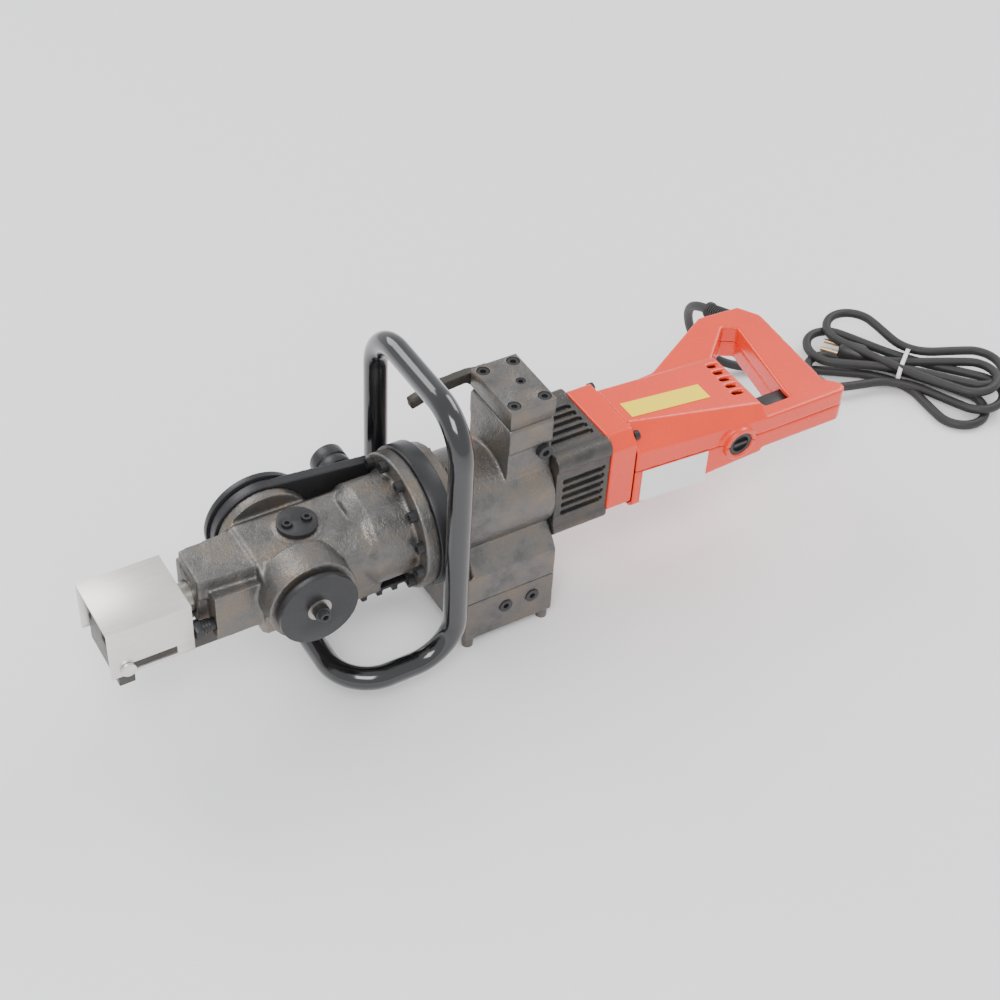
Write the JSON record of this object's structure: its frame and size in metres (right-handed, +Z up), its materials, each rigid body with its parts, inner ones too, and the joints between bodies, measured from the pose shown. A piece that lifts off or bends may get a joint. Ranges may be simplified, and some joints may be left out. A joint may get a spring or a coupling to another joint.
{
  "type": "rebar cutter",
  "caption": "Portable electro-hydraulic rebar cutter and bender with a guarded jaw, a side turntable, a loop handle and a rear D-grip.",
  "frame": {"origin": "floor point under the middle of the tool without its free cord", "axes": "+X towards the rear D-grip, +Y towards the bending turntable, +Z up"},
  "size_m": [0.965, 0.254, 0.2855],
  "materials": {
    "cast_iron": "rough sand cast, satin graphite finish",
    "cast_cover": "machined cast cover, satin",
    "gear_cast": "dark painted die casting",
    "black_steel": "black oxide",
    "gloss_black": "gloss black paint on tube",
    "stainless": "brushed stainless sheet",
    "tool_steel": "ground tool steel",
    "dark_steel": "dark rolled steel",
    "bronze": "bronze",
    "core_steel": "laminated core",
    "orange_plastic": "glossy moulded nylon",
    "black_plastic": "matte moulded plastic",
    "rubber": "matt rubber sheath",
    "pin_brass": "plated brass",
    "white_tie": "satin nylon",
    "yellow_label": "blank film label"
  },
  "bodies": {
    "frame": {"head_casting": "cast_iron", "pump_housing": "cast_iron", "valve_cover": "cast_cover", "bottom_cover": "cast_cover", "feet": "cast_cover", "gear_housing": "gear_cast", "side_plate": "black_steel", "rack_guide_cap": "black_steel", "guide_cap_screws": "black_steel", "under_strip": "black_steel", "flange_screws": "black_steel", "handle_collar": "black_steel", "valve_cover_screws": "black_steel", "socket_plugs": "black_steel", "ring_screws": "black_steel", "support_pin": "black_steel", "loop_handle_bow": "gloss_black", "loop_handle_rest": "gloss_black", "guard_screws": "stainless", "fixed_blade": "tool_steel", "return_spring": "tool_steel", "pump_plungers": "tool_steel", "motor_bearings": "tool_steel", "trigger_spring": "tool_steel", "lever_pin": "tool_steel", "jaw_frame": "dark_steel", "shaft_bushes": "bronze", "brush_sets": "bronze", "stator": "core_steel", "motor_ring": "orange_plastic", "handle_upper": "orange_plastic", "handle_lower": "orange_plastic", "brush_caps": "black_plastic", "switch_body": "black_plastic", "mains_plug": "black_plastic", "strain_relief": "rubber", "cord_lead": "rubber", "cord_hank": "rubber", "plug_pins": "pin_brass", "cable_tie": "white_tie", "name_plate": "white_tie", "top_sticker": "yellow_label"},
    "ram": {"ram_rack": "tool_steel", "piston": "tool_steel", "moving_blade": "tool_steel"},
    "bend_drive": {"bend_shaft": "tool_steel", "shaft_end_disc": "black_steel", "bend_turntable": "black_steel", "bend_pin": "tool_steel"},
    "centre_roller_body": {"centre_roller": "tool_steel"},
    "bend_roller_body": {"bend_roller": "tool_steel"},
    "support_roller_body": {"support_roller": "black_steel"},
    "guard": {"blade_guard": "stainless"},
    "presser": {"presser_bolt": "black_steel"},
    "lever": {"release_lever": "dark_steel"},
    "trigger_body": {"trigger": "black_plastic"},
    "armature": {"armature_shaft": "tool_steel", "armature_core": "core_steel", "cooling_fan": "black_plastic"},
    "eccentric": {"eccentric_shaft": "tool_steel"}
  },
  "joints": [
    {"name": "ram_slide", "type": "slide", "parent": "frame", "child": "ram", "axis": [-1, 0, 0], "range_m": [0, 0.0392], "stiffness_N_per_m": 300, "springref_m": -0.004, "deforming": ["return_spring"]},
    {"name": "bend_turn", "type": "hinge", "parent": "frame", "child": "bend_drive", "pos_m": [-0.1815, -0.00625, 0.1335], "axis": [0, -1, 0], "range_deg": [0, 180]},
    {"name": "centre_roller_spin", "type": "hinge", "parent": "bend_drive", "child": "centre_roller_body", "pos_m": [-0.1815, 0.05575, 0.1335], "axis": [0, 1, 0], "continuous": true},
    {"name": "bend_roller_spin", "type": "hinge", "parent": "bend_drive", "child": "bend_roller_body", "pos_m": [-0.1815, 0.05575, 0.0995], "axis": [0, 1, 0], "continuous": true},
    {"name": "support_roller_spin", "type": "hinge", "parent": "frame", "child": "support_roller_body", "pos_m": [-0.1075, 0.05575, 0.15], "axis": [0, 1, 0], "continuous": true},
    {"name": "guard_slide", "type": "slide", "parent": "frame", "child": "guard", "axis": [-1, 0, 0], "range_m": [0, 0.036]},
    {"name": "presser_adjust", "type": "slide", "parent": "frame", "child": "presser", "axis": [1, 0, 0], "range_m": [0, 0.003]},
    {"name": "lever_lift", "type": "hinge", "parent": "frame", "child": "lever", "pos_m": [0.0205, 0.03375, 0.212], "axis": [0, 1, 0], "range_deg": [0, 30]},
    {"name": "trigger_press", "type": "slide", "parent": "frame", "child": "trigger_body", "axis": [1, 0, 0], "range_m": [0, 0.006], "stiffness_N_per_m": 700, "springref_m": -0.003, "deforming": ["trigger_spring"]},
    {"name": "armature_spin", "type": "hinge", "parent": "frame", "child": "armature", "pos_m": [0.1405, -0.00625, 0.13], "axis": [1, 0, 0], "continuous": true},
    {"name": "eccentric_spin", "type": "hinge", "parent": "frame", "child": "eccentric", "pos_m": [0.0405, -0.00625, 0.112], "axis": [1, 0, 0], "continuous": true}
  ],
  "couplings": [
    {"joint": "bend_turn", "follows": "ram_slide", "rad_per_m": 80},
    {"joint": "eccentric_spin", "follows": "armature_spin", "ratio": -0.33333}
  ]
}
